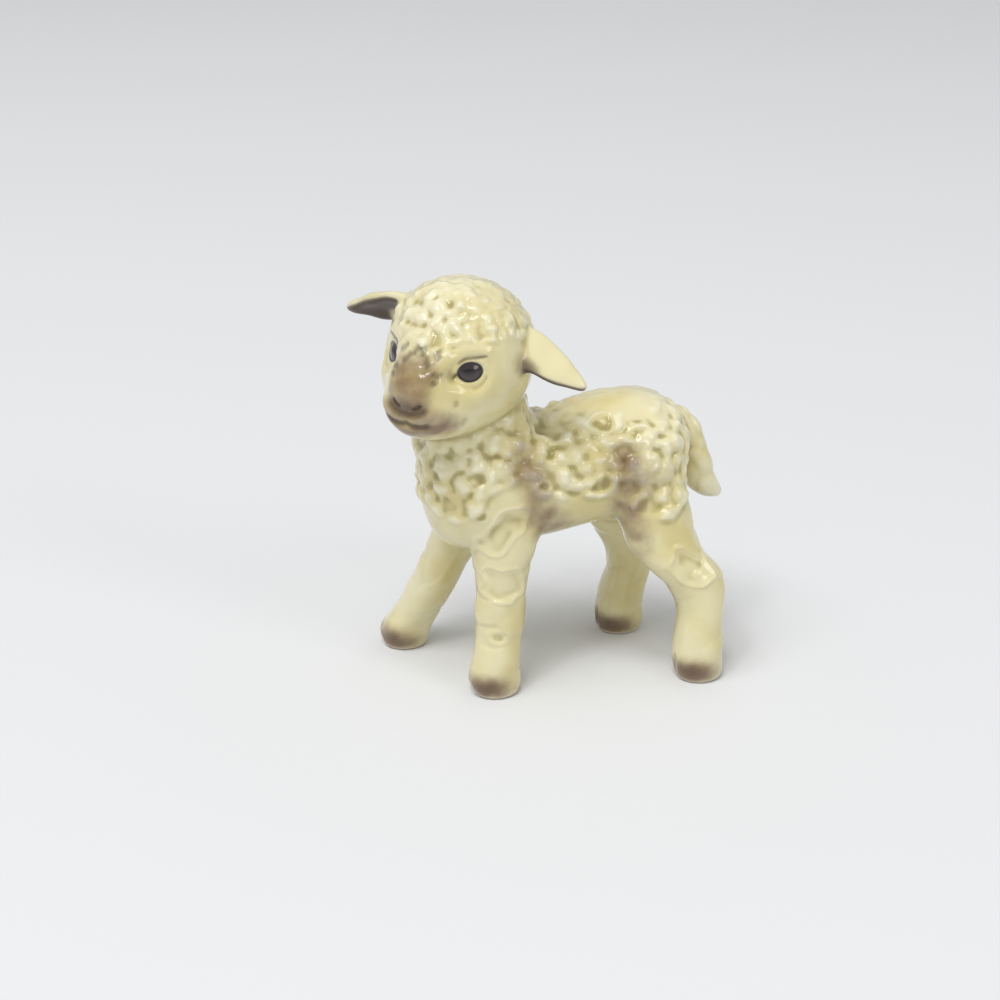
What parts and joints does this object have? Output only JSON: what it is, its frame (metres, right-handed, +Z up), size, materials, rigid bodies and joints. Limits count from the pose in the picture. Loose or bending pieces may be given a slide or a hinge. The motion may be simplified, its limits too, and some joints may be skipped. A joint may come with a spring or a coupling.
{
  "type": "sheep figurine",
  "caption": "Glazed earthenware lamb with a curly wool relief, standing on splayed legs with its head turned to its left, its ears out sideways and its tail kicked up at the tip.",
  "frame": {"origin": "middle of the lamb's outline seen from above, at the level of its soles", "axes": "+X the way the trunk faces, from the tail to the chest; +Y to the lamb's left; +Z up, from the soles to the crown"},
  "size_m": [0.0722, 0.0404, 0.0814],
  "materials": {
    "glazed_earthenware": "glossy"
  },
  "bodies": {
    "root": {"trunk": "glazed_earthenware", "head": "glazed_earthenware", "left_ear": "glazed_earthenware", "right_ear": "glazed_earthenware", "tail": "glazed_earthenware", "front_left_leg": "glazed_earthenware", "front_right_leg": "glazed_earthenware", "rear_left_leg": "glazed_earthenware", "rear_right_leg": "glazed_earthenware"}
  },
  "joints": []
}
